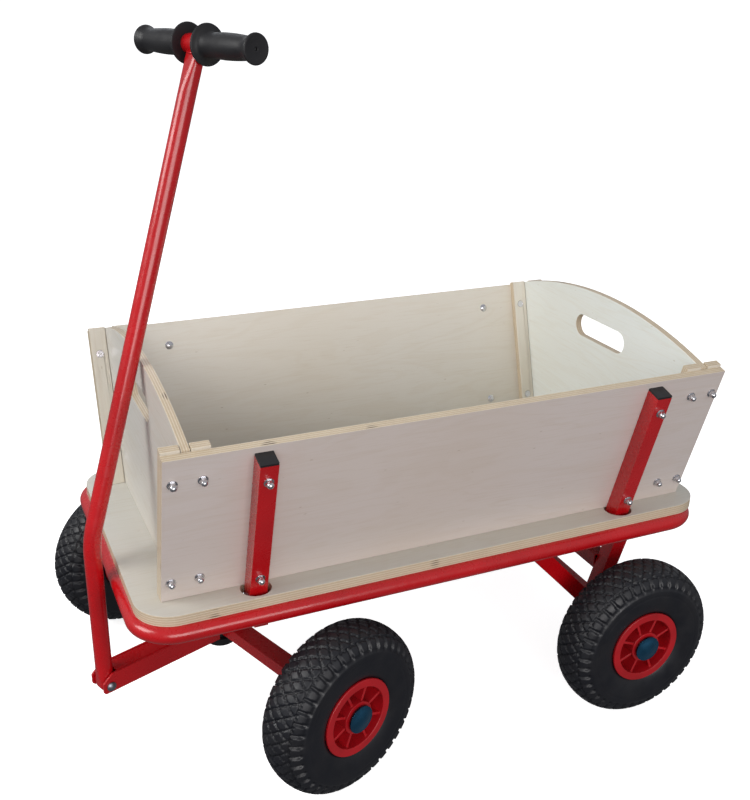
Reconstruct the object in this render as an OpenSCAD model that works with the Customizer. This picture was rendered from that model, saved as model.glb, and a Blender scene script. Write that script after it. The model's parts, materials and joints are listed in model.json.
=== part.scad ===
// Four-wheel wagon with a pull handle: plywood box on a tubular steel chassis,
// steered front bogie, folding pull pole with a T-bar, removable box walls.
// Millimetres, +X forward (handle side), +Y left, +Z up, origin on the ground
// below the middle of the whole wagon.

/* [Wheels] */
// Tyre outer diameter
tyre_d = 260; // [256:1:264]
// Tyre width
tyre_w = 82; // [78:1:84]
// Distance between the front and the rear axle
wheelbase = 598; // [590:1:610]
// Distance from the wagon's middle to a wheel's middle plane
half_track = 295; // [292:1:300]
// Axle diameter
axle_d = 16; // [15:0.5:17]

/* [Bed] */
// Width of the bed board
bed_w = 482; // [476:1:486]
// Distance from the rear axle back to the bed's rear edge
bed_back = 164; // [160:1:170]
// Distance from the rear axle forward to the bed's front edge
bed_front = 765; // [760:1:768]
// Bed board thickness
bed_t = 16; // [15:1:16]
// Height of the bed's top face above the ground
bed_top = 316; // [314:1:320]
// Corner radius of the bed and of the frame below it
bed_r = 55; // [50:1:60]

/* [Chassis] */
// Outer diameter of the bent frame tube
rail_d = 25; // [24:0.5:25]
// Wall of the round tubes
tube_wall = 2; // [1.5:0.5:2.5]
// Width of the square struts
strut_w = 25; // [22:1:25]

/* [Box] */
// Height of the wall boards, measured along their slope
wall_h = 250; // [240:1:260]
// Thickness of the wall boards and end panels
ply_t = 12; // [11:0.5:12.5]
// Outward lean of the side walls
splay = 16.3; // [15:0.1:17]
// Distance from the middle to a side wall's outer face at the bed
wall_y = 200.8; // [199:0.1:202]
// Height of an end panel at its middle, above the bed
panel_h = 289; // [284:1:294]
// Length of the hand slot
slot_l = 140; // [120:1:150]
// Height of the hand slot
slot_h = 38; // [32:1:40]
// Width of a batten
batten_w = 25.5; // [24:0.5:26]
// Gap between two battens, which holds the end panel
batten_gap = 13.5; // [13.3:0.1:14]
// Width of the square stakes
stake_w = 25; // [24:0.5:25]

/* [Steering and handle] */
// Steering angle at rest
steer = 20; // [18:0.5:22]
// Distance from the kingpin forward to the pole's pivot
pole_f = 212; // [211:0.5:216]
// Height of the pole's pivot
pivot_z = 117; // [115:1:119]
// Pole diameter
pole_d = 25; // [24:0.5:25]
// Height at which the straight runs of the pole cross
bend_z = 357; // [350:1:365]
// Lean of the pole above its bend
pole_lean = 18.4; // [16:0.1:20]
// Height of the T-bar
bar_z = 1018; // [990:1:1030]
// Half length of the T-bar over the grips
bar_half = 126; // [115:1:130]

/* [Hidden] */
$fn = 48;
eps = 0.01;

tyre_r = tyre_d / 2;
rail_r = rail_d / 2;
rail_z = bed_top - bed_t - rail_r;      // rail centre height
under = bed_top - bed_t;                // underside of the bed
rail_back = bed_back - 15;               // the rear rail lies inside the bed's rear edge
rail_y = bed_w / 2;                     // rail centre line follows the bed's outline
mid_x = 330.41;                         // middle of the whole wagon, from the rear axle
run = 0.3;                              // gap between bodies that slide past each other
fit = 0.05;                             // radial running clearance on shafts

wall_x0 = -136.5;                       // rear end of the side walls
wall_x1 = 729.5;                        // front end of the side walls
stake_x = [-9, 600];
bolt_v = [35, 211];                     // bolt heights up the wall
batten_in = batten_w + batten_gap + batten_w / 2;
batten_c = [wall_x0 + batten_w / 2, wall_x0 + batten_in, wall_x1 - batten_in, wall_x1 - batten_w / 2];
panel_x = [wall_x0 + batten_w + batten_gap / 2, wall_x1 - batten_w - batten_gap / 2];

beam_w = 30; beam_h = 20; beam_l = 250; // axle beams: fore-aft, height, half length
beam_z = tyre_r;
front_beam_z = tyre_r;
cap_out = half_track + 40.8;

// ---- placement ---------------------------------------------------------
module chassis() translate([-mid_x, 0, 0]) children();
module bogie() chassis() translate([wheelbase, 0, 0]) rotate([0, 0, steer]) children();
// x along the wagon, y outward from the wall's outer face, z up the slope
module on_wall(side) chassis() mirror([0, side < 0 ? 1 : 0, 0])
  translate([0, wall_y, bed_top + run]) rotate([-splay, 0, 0]) children();
module both_sides() { children(); mirror([0, 1, 0]) children(); }

// ---- shapes that repeat ------------------------------------------------
module tube_y(d, wall, a, b) translate([0, a, 0]) rotate([-90, 0, 0]) difference() {
  cylinder(d = d, h = b - a);
  translate([0, 0, -1]) cylinder(d = d - 2 * wall, h = b - a + 2);
}
module rod_y(d, a, b) translate([0, a, 0]) rotate([-90, 0, 0]) cylinder(d = d, h = b - a);
module box(x0, x1, y0, y1, z0, z1) translate([x0, y0, z0]) cube([x1 - x0, y1 - y0, z1 - z0]);
// square tube along x between two boxes' ends
module sq_tube_y(x0, x1, z0, z1, y0, y1, w) difference() {
  box(x0, x1, y0, y1, z0, z1);
  box(x0 + w, x1 - w, y0 - 1, y1 + 1, z0 + w, z1 - w);
}
// rounded rectangle, corners of radius r
module rrect(x0, x1, y0, y1, r) union() {
  translate([x0 + r, y0]) square([x1 - x0 - 2 * r, y1 - y0]);
  translate([x0, y0 + r]) square([x1 - x0, y1 - y0 - 2 * r]);
  for (x = [x0 + r, x1 - r], y = [y0 + r, y1 - r]) translate([x, y]) circle(r = r);
}

// ---- bed and frame -----------------------------------------------------
module bed_outline() rrect(-bed_back, bed_front, -bed_w / 2, bed_w / 2, bed_r);
stake_hole_y = wall_y + stake_w / 2 * cos(splay) + 1;
module bed_board() color([0.80, 0.76, 0.66]) chassis() difference() {
  translate([0, 0, under]) linear_extrude(bed_t) bed_outline();
  for (x = stake_x) both_sides() translate([x, stake_hole_y, under - 1]) cylinder(d = 44, h = bed_t + 2);
  for (x = bolt_x, y = bolt_y) translate([x, y, under - 1]) cylinder(d = 6.6, h = bed_t + 2);
}
module frame_side_rails() color([0.75, 0.10, 0.12]) chassis() both_sides()
  translate([-rail_back + bed_r, rail_y, rail_z]) rotate([0, 90, 0]) difference() {
    cylinder(d = rail_d, h = bed_front + rail_back - 2 * bed_r);
    translate([0, 0, -1]) cylinder(d = rail_d - 2 * tube_wall, h = bed_front + rail_back - 2 * bed_r + 2);
  }
module end_rail() {
  hy = rail_y - bed_r;
  tube_y(rail_d, tube_wall, -hy, hy);
  for (s = [1, -1]) mirror([0, s < 0 ? 1 : 0, 0]) translate([-bed_r, hy, 0])
    rotate_extrude(angle = 90) translate([bed_r, 0]) difference() {
      circle(d = rail_d);
      circle(d = rail_d - 2 * tube_wall);
    }
}
module frame_end_rails() color([0.75, 0.10, 0.12]) chassis() {
  translate([bed_front, 0, rail_z]) end_rail();
  translate([-rail_back, 0, rail_z]) mirror([1, 0, 0]) end_rail();
}
// cross members: centre positions along the wagon
cross_x = [-40, 150, 559, 641];
bolt_x = [-40, 150, 559];
bolt_y = [-120, 120];
cross_z0 = under - 25;
module rail_cut() both_sides() translate([-300, rail_y, rail_z]) rotate([0, 90, 0]) cylinder(d = rail_d, h = 1400);
module cross_members() color([0.62, 0.07, 0.09]) chassis() {
  for (x = cross_x) difference() {
    sq_tube_y(x - 12.5, x + 12.5, cross_z0, under, -rail_y + 6, rail_y - 6, 2);
    rail_cut();
    for (y = bolt_y) translate([x, y, cross_z0 - 1]) cylinder(d = 6.6, h = 30);
  }
  // tie between the rear struts
  sq_tube_y(-27, -2, 188, 213, -strut_y + strut_w / 2, strut_y - strut_w / 2, 2);
}
module bed_bolts() color([0.75, 0.76, 0.78]) chassis() for (x = bolt_x, y = bolt_y) {
  translate([x, y, bed_top]) rotate_extrude() intersection() {
    translate([0, -14.5]) circle(r = 17);
    square([8, 3]);
  }
  translate([x, y, cross_z0 - 9]) cylinder(d = 6, h = bed_top - cross_z0 + 9);
  difference() {
    translate([x, y, cross_z0 - 5]) cylinder(d = 11.5, h = 5, $fn = 6);
    translate([x, y, cross_z0 - 6]) cylinder(d = 6, h = 7);
  }
}
module stake_sockets() color([0.62, 0.07, 0.09]) for (s = [1, -1], x = stake_x)
  on_wall(s) translate([x, stake_w / 2, 0]) difference() {
    union() {
      box(-15, 15, -15, 15, -52, -22);
      box(-10, 10, 8, 34, -40, -30);
    }
    box(-13, 13, -13, 13, -60, 0);
    // trimmed under the bed and against the rail
    rotate([splay, 0, 0]) translate([0, -stake_w / 2 * cos(splay), -run + stake_w / 2 * sin(splay)])
      box(-40, 40, -60, 60, -bed_t, 30);
    rotate([splay, 0, 0]) translate([-50, rail_y - wall_y - stake_w / 2 * cos(splay), rail_z - bed_top - run + stake_w / 2 * sin(splay)])
      rotate([0, 90, 0]) cylinder(d = rail_d, h = 100);
  }

// ---- kingpin -----------------------------------------------------------
top_plate_z = front_beam_z + beam_h / 2;
module kingpin_tower() color([0.70, 0.09, 0.11]) chassis() translate([wheelbase, 0, 0]) difference() {
  union() {
    box(-55, 55, -50, 50, cross_z0 - 5, cross_z0);
    translate([0, 0, top_plate_z + 17]) difference() {
      cylinder(d = 48, h = cross_z0 - 5 - top_plate_z - 17);
      cylinder(d = 42, h = 200);
    }
    translate([0, 0, top_plate_z + 12]) cylinder(d = 90, h = 5);
  }
  translate([0, 0, 100]) cylinder(d = axle_d, h = 68 + 20);
}
module kingpin() color([0.55, 0.56, 0.58]) chassis() translate([wheelbase, 0, 0]) {
  translate([0, 0, front_beam_z - 22]) cylinder(d = axle_d, h = 62);
  translate([0, 0, front_beam_z - 21]) cylinder(d = 26, h = 8, $fn = 6);
  translate([0, 0, top_plate_z + 17]) cylinder(d = 26, h = 10, $fn = 6);
}
module thrust_ring() color([0.12, 0.12, 0.13]) bogie() translate([0, 0, top_plate_z + 6]) difference() {
  cylinder(d = 84, h = 6 - run);
  translate([0, 0, -1]) cylinder(d = axle_d + 2, h = 10);
}
module kingpin_cap() color([0.06, 0.06, 0.07]) bogie() translate([0, 0, front_beam_z - 10]) difference() {
  union() {
    translate([0, 0, -20]) cylinder(r = beam_w / 2 - run, h = 20);
    translate([0, 0, -26]) cylinder(r = 24, h = 11.5);
  }
  translate([0, 0, -22]) cylinder(r = 13.4, h = 30);
}

// ---- beams and axles ---------------------------------------------------
module beam(bore) difference() {
  union() {
    sq_tube_y(-beam_w / 2, beam_w / 2, beam_z - beam_h / 2, beam_z + beam_h / 2, -beam_l, beam_l, 1.5);
    for (s = [1, -1], q = [150, beam_l - 4]) mirror([0, s < 0 ? 1 : 0, 0])
      box(-beam_w / 2 + 1, beam_w / 2 - 1, q, q + 4, beam_z - beam_h / 2 + 1, beam_z + beam_h / 2 - 1);
  }
  for (s = [1, -1]) mirror([0, s < 0 ? 1 : 0, 0]) translate([0, 0, beam_z]) rod_y(axle_d, 149, beam_l + 1);
}
module stubs() both_sides() translate([0, 0, beam_z]) rod_y(axle_d, 150, cap_out + 2);
module washers() both_sides() translate([0, 0, beam_z]) {
  tube_y(30, 7, beam_l, half_track - 39 - run);
  tube_y(30, 7, half_track + 39 + run, cap_out);
}
module caps() both_sides() translate([0, cap_out, beam_z]) rotate([-90, 0, 0]) difference() {
  union() {
    cylinder(r = 21, h = 2);
    rotate_extrude() intersection() {
      translate([0, -46]) circle(r = 51.5);
      translate([0, 0]) square([20, 10]);
    }
  }
  translate([0, 0, -1]) cylinder(d = axle_d, h = 3);
}
module rear_beam() color([0.70, 0.09, 0.11]) chassis() beam();
module rear_axle_stubs() color([0.6, 0.61, 0.63]) chassis() stubs();
module rear_axle_washers() color([0.72, 0.73, 0.75]) chassis() washers();
module rear_hub_caps() color([0.45, 0.58, 0.72]) chassis() caps();
module front_beam() color([0.70, 0.09, 0.11]) bogie() difference() {
  union() {
    beam();
    translate([0, 0, front_beam_z - 10 + eps]) cylinder(d = 26, h = beam_h - 2 * eps);
    translate([0, 0, top_plate_z]) cylinder(d = 90, h = 6);
  }
  translate([0, 0, 100]) cylinder(d = axle_d + 2 * fit, h = 60);
}
module front_axle_stubs() color([0.6, 0.61, 0.63]) bogie() stubs();
module front_axle_washers() color([0.72, 0.73, 0.75]) bogie() washers();
module front_hub_caps() color([0.45, 0.58, 0.72]) bogie() caps();

// ---- rear struts -------------------------------------------------------
strut_y = 190;
apex = [6, 128];
front_top = [150, 280];
back_top = [-45, 280];
module leg(a, b) let (d = b - a, l = norm(d), t = atan2(d[0], d[1]))
  translate([a[0], strut_y, a[1]]) rotate([0, t, 0]) difference() {
    box(-strut_w / 2, strut_w / 2, -strut_w / 2, strut_w / 2, -18, l + 20);
    box(-strut_w / 2 + 2, strut_w / 2 - 2, -strut_w / 2 + 2, strut_w / 2 - 2, -14, l + 22);
  }
module leg_block(a, b) let (d = b - a, l = norm(d), t = atan2(d[0], d[1]))
  translate([a[0], strut_y, a[1]]) rotate([0, t, 0])
    box(-strut_w / 2, strut_w / 2, -strut_w / 2 - 1, strut_w / 2 + 1, -18, l + 20);
module beam_block() box(-beam_w / 2, beam_w / 2, -beam_l, beam_l, beam_z - beam_h / 2, beam_z + beam_h / 2);
module rear_back_struts() color([0.66, 0.08, 0.10]) chassis() both_sides() difference() {
  leg(apex, back_top);
  box(-200, 300, 100, 240, cross_z0, 400);
  box(-200, 300, 100, 240, 0, beam_z + beam_h / 2);
}
module rear_front_struts() color([0.72, 0.09, 0.11]) chassis() both_sides() difference() {
  leg(apex, front_top);
  box(-200, 300, 100, 240, cross_z0, 400);
  box(-200, 300, 100, 240, 0, beam_z - beam_h / 2 - 4);
  box(-200, beam_w / 2, 100, 240, 0, beam_z + beam_h / 2);
  leg_block(apex, back_top);
  // nothing is left behind the back strut
  let (d = back_top - apex, t = atan2(d[0], d[1])) translate([apex[0], 100, apex[1]]) rotate([0, t, 0]) box(-200, 0, 0, 200, -100, 300);
}

// ---- drawbar and pole --------------------------------------------------
bar_w = 30;
bar_lo = 107; bar_hi = 138;
cheek_f = pole_f + 12;
stop_f = pole_f - pole_d / 2 - 0.15 - run;
module drawbar() color([0.62, 0.07, 0.09]) bogie() translate([beam_w / 2, 0, 0]) rotate([90, 0, 90]) linear_extrude(stop_f - beam_w / 2) difference() {
  rrect(-bar_w / 2, bar_w / 2, bar_lo, bar_hi, 2.5);
  rrect(-bar_w / 2 + 2.5, bar_w / 2 - 2.5, bar_lo + 2.5, bar_hi - 2.5, 0.8);
}
module fork_cheeks() color([0.68, 0.08, 0.10]) bogie() for (s = [1, -1])
  translate([0, s > 0 ? bar_w / 2 + 3.5 : -bar_w / 2, bar_lo]) rotate([90, 0, 0]) linear_extrude(3.5) difference() {
    polygon([[beam_w / 2, 0], [cheek_f - 3, 0], [cheek_f, 3], [cheek_f, 18], [pole_f - 4, bar_hi - bar_lo], [beam_w / 2, bar_hi - bar_lo]]);
    translate([pole_f, pivot_z - bar_lo]) circle(d = 8.4);
  }
module pivot_bolt() color([0.72, 0.73, 0.78]) bogie() translate([pole_f, 0, pivot_z]) {
  rod_y(8, -bar_w / 2 - 11, bar_w / 2 + 3.5);
  translate([0, bar_w / 2 + 3.5, 0]) rotate([-90, 0, 0]) rotate_extrude() intersection() {
    translate([0, -5]) circle(r = 10);
    square([7.5, 6]);
  }
}
module pivot_nut() color([0.72, 0.73, 0.78]) bogie() translate([pole_f, 0, pivot_z]) rotate([90, 0, 0])
  translate([0, 0, bar_w / 2 + 3.5]) difference() {
    cylinder(d = 15, h = 6.5, $fn = 6);
    translate([0, 0, -1]) cylinder(d = 8, h = 9);
  }
bend_r = 160;
bend_t = bend_r * tan(pole_lean / 2);
up_len = (bar_z - bend_z) / cos(pole_lean);
bar_f = pole_f - (bar_z - bend_z) * tan(pole_lean);
foot_w = bar_w - 2 * run;
foot_h = 24;
foot_r = pole_d / 2 + 0.15;
foot = concat([for (t = [180:15:360]) [foot_r * cos(t), foot_r * sin(t)]], [[foot_r, foot_h], [-foot_r, foot_h]]);
lap = 0.6;
module pole() color([0.74, 0.10, 0.12]) bogie() {
  // solid foot between the cheeks
  translate([pole_f, foot_w / 2, pivot_z]) rotate([90, 0, 0]) difference() {
    linear_extrude(foot_w) polygon(foot);
    translate([0, 0, -1]) cylinder(d = 8 + 2 * fit, h = foot_w + 2);
  }
  translate([pole_f, 0, pivot_z + foot_h - lap]) ring(pole_d / 2, pole_d / 2 - tube_wall, bend_z - bend_t - pivot_z - foot_h + 2 * lap);
  // bend, a hair thicker than the straight runs it laps
  translate([pole_f - bend_r, 0, bend_z - bend_t]) rotate([90, 0, 0]) rotate_extrude(angle = pole_lean, $fn = 240) translate([bend_r, 0]) difference() {
    circle(d = pole_d + 0.2, $fn = 48);
    circle(d = pole_d - 2 * tube_wall - 0.2, $fn = 48);
  }
  difference() {
    translate([pole_f, 0, bend_z]) rotate([0, -pole_lean, 0]) translate([0, 0, bend_t - lap]) ring(pole_d / 2, pole_d / 2 - tube_wall, up_len - bend_t + lap);
    translate([bar_f, 0, bar_z]) rod_y(bar_d, -40, 40);
  }
}
bar_d = pole_d + 1;
module t_bar_tube() color([0.74, 0.10, 0.12]) bogie() translate([bar_f, 0, bar_z]) tube_y(bar_d, tube_wall, -bar_half + 4, bar_half - 4);
// grip: inner flange, waisted body, end disc; closed at its outer end
module grip() rotate([-90, 0, 0]) rotate_extrude() difference() {
  polygon([[0, 20], [27, 20], [27.5, 21.5], [27, 23.5], [24, 25], [18.5, 27.5], [16.5, 31], [15.6, 46], [16.3, 67], [16.8, 88], [15.8, bar_half - 18], [16.2, bar_half - 12],
    [18.8, bar_half - 9.5], [19.6, bar_half - 6], [19.2, bar_half - 1.5], [17.5, bar_half], [0, bar_half]]);
  translate([-1, 10]) square([bar_d / 2 + 1, bar_half - 14]);
}
module grip_left() color([0.08, 0.08, 0.09]) bogie() translate([bar_f, 0, bar_z]) grip();
module grip_right() color([0.08, 0.08, 0.09]) bogie() translate([bar_f, 0, bar_z]) mirror([0, 1, 0]) grip();

// ---- side walls --------------------------------------------------------
module wall_holes(r) {
  for (x = batten_c, v = bolt_v) translate([x, -ply_t - 20, v]) rotate([-90, 0, 0]) cylinder(r = r, h = 60);
  for (x = stake_x, v = bolt_v) translate([x, -ply_t - 20, v]) rotate([-90, 0, 0]) cylinder(r = r, h = 60);
}
module wall_board(s) on_wall(s) difference() {
  translate([wall_x0, 0, 0]) rotate([90, 0, 90]) linear_extrude(wall_x1 - wall_x0)
    polygon([[0, 0], [0, wall_h], [-ply_t, wall_h], [-ply_t, -ply_t * tan(splay)]]);
  wall_holes(3.3);
}
module battens(s) on_wall(s) for (x = batten_c) difference() {
  translate([x - batten_w / 2, 0, 0]) rotate([90, 0, 90]) linear_extrude(batten_w)
    polygon([[-ply_t, -ply_t * tan(splay)], [-ply_t, wall_h + 4], [-2 * ply_t, wall_h + 4], [-2 * ply_t, -2 * ply_t * tan(splay)]]);
  for (v = bolt_v) translate([x, -2 * ply_t - 1, v]) rotate([-90, 0, 0]) {
    cylinder(r = 3.3, h = 30);
    cylinder(r = 6.2, h = 4.4);
  }
}
module stakes(s) on_wall(s) for (x = stake_x) difference() {
  box(x - stake_w / 2, x + stake_w / 2, 0, stake_w, -46, 237);
  box(x - stake_w / 2 + 1.5, x + stake_w / 2 - 1.5, 1.5, stake_w - 1.5, -50, 240);
  for (v = bolt_v) translate([x, -5, v]) rotate([-90, 0, 0]) cylinder(r = 3.3, h = 60);
}
module stake_caps(s) on_wall(s) for (x = stake_x) {
  box(x - stake_w / 2, x + stake_w / 2, 0, stake_w, 237, 240.5);
  box(x - stake_w / 2 + 2, x + stake_w / 2 - 2, 2, stake_w - 2, 227, 237);
}
module wall_bolts(s) on_wall(s) {
  for (x = batten_c, v = bolt_v) translate([x, -2 * ply_t, v]) rotate([-90, 0, 0]) {
    cylinder(r = 6, h = 3.2);
    cylinder(r = 3, h = 2 * ply_t + 6);
  }
  for (x = stake_x, v = bolt_v) translate([x, -ply_t, v]) rotate([-90, 0, 0]) {
    cylinder(r = 3, h = ply_t + stake_w + 6);
    rotate([180, 0, 0]) rotate_extrude() intersection() {
      translate([0, -9]) circle(r = 11.5);
      square([7, 3]);
    }
  }
}
module ring(ro, ri, h) difference() {
  cylinder(r = ro, h = h);
  translate([0, 0, -1]) cylinder(r = ri, h = h + 2);
}
module wall_washers(s) on_wall(s) {
  for (x = batten_c, v = bolt_v) translate([x, 0, v]) rotate([-90, 0, 0]) ring(7, 3, 1.5);
  for (x = stake_x, v = bolt_v) translate([x, stake_w, v]) rotate([-90, 0, 0]) ring(7, 3, 1.5);
}
module cap_nut() difference() {
  union() {
    cylinder(d = 11.5, h = 4, $fn = 6);
    translate([0, 0, 4]) cylinder(r = 4.9, h = 1.2);
    translate([0, 0, 5.2]) rotate_extrude() intersection() {
      circle(r = 4.9);
      square([5, 5]);
    }
  }
  translate([0, 0, -1]) cylinder(r = 3, h = 5.5);
}
module wall_nuts(s) on_wall(s) {
  for (x = batten_c, v = bolt_v) translate([x, 1.5, v]) rotate([-90, 0, 0]) cap_nut();
  for (x = stake_x, v = bolt_v) translate([x, stake_w + 1.5, v]) rotate([-90, 0, 0]) cap_nut();
}
wood = [0.80, 0.76, 0.68];
module left_wall_board() color(wood) wall_board(1);
module right_wall_board() color(wood) wall_board(-1);
module left_battens() color([0.82, 0.78, 0.68]) battens(1);
module right_battens() color([0.82, 0.78, 0.68]) battens(-1);
module left_stakes() color([0.78, 0.10, 0.12]) stakes(1);
module right_stakes() color([0.78, 0.10, 0.12]) stakes(-1);
module left_stake_caps() color([0.08, 0.08, 0.08]) stake_caps(1);
module right_stake_caps() color([0.08, 0.08, 0.08]) stake_caps(-1);
module left_wall_bolts() color([0.70, 0.71, 0.72]) wall_bolts(1);
module right_wall_bolts() color([0.70, 0.71, 0.72]) wall_bolts(-1);
module left_wall_washers() color([0.74, 0.75, 0.76]) wall_washers(1);
module right_wall_washers() color([0.74, 0.75, 0.76]) wall_washers(-1);
module left_wall_nuts() color([0.78, 0.79, 0.80]) wall_nuts(1);
module right_wall_nuts() color([0.78, 0.79, 0.80]) wall_nuts(-1);

// ---- end panels --------------------------------------------------------
panel_side = 246;                       // height of a panel at its edges, above the bed
side_gap = 0.5 / cos(splay);
half_at = function (z) wall_y - ply_t / cos(splay) + (z - 0) * tan(splay) - side_gap;
panel_z0 = run;
arch_half = half_at(panel_side);
arch_s = panel_h - panel_side;
arch_R = (arch_half * arch_half + arch_s * arch_s) / (2 * arch_s);
module panel_shape() difference() {
  intersection() {
    polygon([[-half_at(panel_z0), panel_z0], [half_at(panel_z0), panel_z0], [half_at(panel_h), panel_h + 1], [-half_at(panel_h), panel_h + 1]]);
    union() {
      translate([0, panel_h - arch_R]) circle(r = arch_R, $fn = 96);
      translate([-600, -400]) square([1200, 400 + panel_side - 60]);
    }
  }
  translate([-slot_l / 2 + slot_h / 2, 221]) circle(d = slot_h);
  translate([slot_l / 2 - slot_h / 2, 221]) circle(d = slot_h);
  translate([-slot_l / 2 + slot_h / 2, 221 - slot_h / 2]) square([slot_l - slot_h, slot_h]);
}
module panel(x) chassis() translate([x - ply_t / 2, 0, bed_top]) rotate([90, 0, 90]) linear_extrude(ply_t) panel_shape();
module rear_panel() color(wood) panel(panel_x[0]);
module front_panel() color(wood) panel(panel_x[1]);

// ---- wheels ------------------------------------------------------------
// profile points: radius, distance from the wheel's middle plane
outer_half = [[56, 28], [60, 33.2], [63, 35.5], [72, 39], [84, 40.8], [95, 41], [105, 39.9], [114, 36.5], [121, 30.5], [126, 22], [129, 11]];
inner_half = [[56, 20], [62, 25], [70, 31], [82, 34.4], [95, 35], [107, 32.5], [116, 25], [121, 14]];
rs = tyre_r / 130; ws = tyre_w / 82;
function grow(p) = [p[0] > 62 ? 62 + (p[0] - 62) * (tyre_r - 62) / 68 : p[0], p[0] > 62 ? p[1] * ws : p[1]];
function flip(p) = [p[0], -p[1]];
function back(v) = [for (i = [len(v) - 1:-1:0]) v[i]];
module tyre() rotate([-90, 0, 0]) rotate_extrude($fn = 96) difference() {
  polygon(concat([for (p = outer_half) grow(p)], [[tyre_r, 0]], back([for (p = outer_half) flip(grow(p))])));
  polygon(concat([for (p = inner_half) grow(p)], [[tyre_r - 7.5, 0]], back([for (p = inner_half) flip(grow(p))]), [[50, -20], [50, 20]]));
}
module inner_tube() {
  rotate([-90, 0, 0]) rotate_extrude($fn = 96) translate([91, 0]) difference() {
    circle(r = 28.5);
    circle(r = 26.5);
  }
  // valve stem, through the rim's barrel
  translate([0, 12, 34]) cylinder(d = 8, h = 31);
}
hub_half = 37;
module rim() difference() {
  union() {
    rotate([-90, 0, 0]) rotate_extrude($fn = 96) polygon([[48, -37], [49, -38], [59.5, -38], [60.5, -37], [60.5, -34.2], [56, -29.5], [56, 29.5], [60.5, 34.2], [60.5, 37], [59.5, 38], [49, 38], [48, 37]]);
    tube_y(50, 14, -hub_half, hub_half);
    tube_y(98, 26, 0, 5);
    for (k = [0:7]) rotate([0, 22.5 + k * 45, 0]) box(-2, 2, -hub_half + 4, hub_half - 4, 23, 50);
  }
  rod_y(20, -40, 40);
  translate([0, 12, 30]) cylinder(d = 9, h = 40);
}
module bushes() both_sides() translate([0, 0, 0]) difference() {
  union() {
    rod_y(20, 12, hub_half);
    rod_y(28, hub_half, hub_half + 2);
  }
  rod_y(axle_d + 2 * fit, 0, 50);
}
module at_wheel(front, s) {
  if (front) bogie() mirror([0, s < 0 ? 1 : 0, 0]) translate([0, half_track, tyre_r]) children();
  else chassis() mirror([0, s < 0 ? 1 : 0, 0]) translate([0, half_track, tyre_r]) children();
}
black = [0.07, 0.07, 0.08]; red = [0.74, 0.09, 0.11];
module fl_tyre() color(black) at_wheel(true, 1) tyre();
module fr_tyre() color(black) at_wheel(true, -1) tyre();
module rl_tyre() color(black) at_wheel(false, 1) tyre();
module rr_tyre() color(black) at_wheel(false, -1) tyre();
module fl_inner_tube() color([0.1, 0.1, 0.1]) at_wheel(true, 1) inner_tube();
module fr_inner_tube() color([0.1, 0.1, 0.1]) at_wheel(true, -1) inner_tube();
module rl_inner_tube() color([0.1, 0.1, 0.1]) at_wheel(false, 1) inner_tube();
module rr_inner_tube() color([0.1, 0.1, 0.1]) at_wheel(false, -1) inner_tube();
module fl_rim() color(red) at_wheel(true, 1) rim();
module fr_rim() color(red) at_wheel(true, -1) rim();
module rl_rim() color(red) at_wheel(false, 1) rim();
module rr_rim() color(red) at_wheel(false, -1) rim();
module fl_bushes() color([0.85, 0.85, 0.83]) at_wheel(true, 1) bushes();
module fr_bushes() color([0.85, 0.85, 0.83]) at_wheel(true, -1) bushes();
module rl_bushes() color([0.85, 0.85, 0.83]) at_wheel(false, 1) bushes();
module rr_bushes() color([0.85, 0.85, 0.83]) at_wheel(false, -1) bushes();

// one line per node
bed_board();
frame_side_rails();
frame_end_rails();
cross_members();
stake_sockets();
kingpin_tower();
kingpin();
bed_bolts();
rear_front_struts();
rear_back_struts();
rear_beam();
rear_axle_stubs();
rear_axle_washers();
rear_hub_caps();
front_beam();
thrust_ring();
kingpin_cap();
front_axle_stubs();
front_axle_washers();
front_hub_caps();
drawbar();
fork_cheeks();
pivot_bolt();
pivot_nut();
pole();
t_bar_tube();
grip_left();
grip_right();
left_wall_board();
left_battens();
left_stakes();
left_stake_caps();
left_wall_bolts();
left_wall_washers();
left_wall_nuts();
right_wall_board();
right_battens();
right_stakes();
right_stake_caps();
right_wall_bolts();
right_wall_washers();
right_wall_nuts();
front_panel();
rear_panel();
fl_tyre();
fl_inner_tube();
fl_rim();
fl_bushes();
fr_tyre();
fr_inner_tube();
fr_rim();
fr_bushes();
rl_tyre();
rl_inner_tube();
rl_rim();
rl_bushes();
rr_tyre();
rr_inner_tube();
rr_rim();
rr_bushes();
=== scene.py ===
# Wagon with pull handle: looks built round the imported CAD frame. Metres, row frame.
import bpy, bmesh, json, math
import numpy as np
from mathutils import Vector, Matrix


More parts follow.
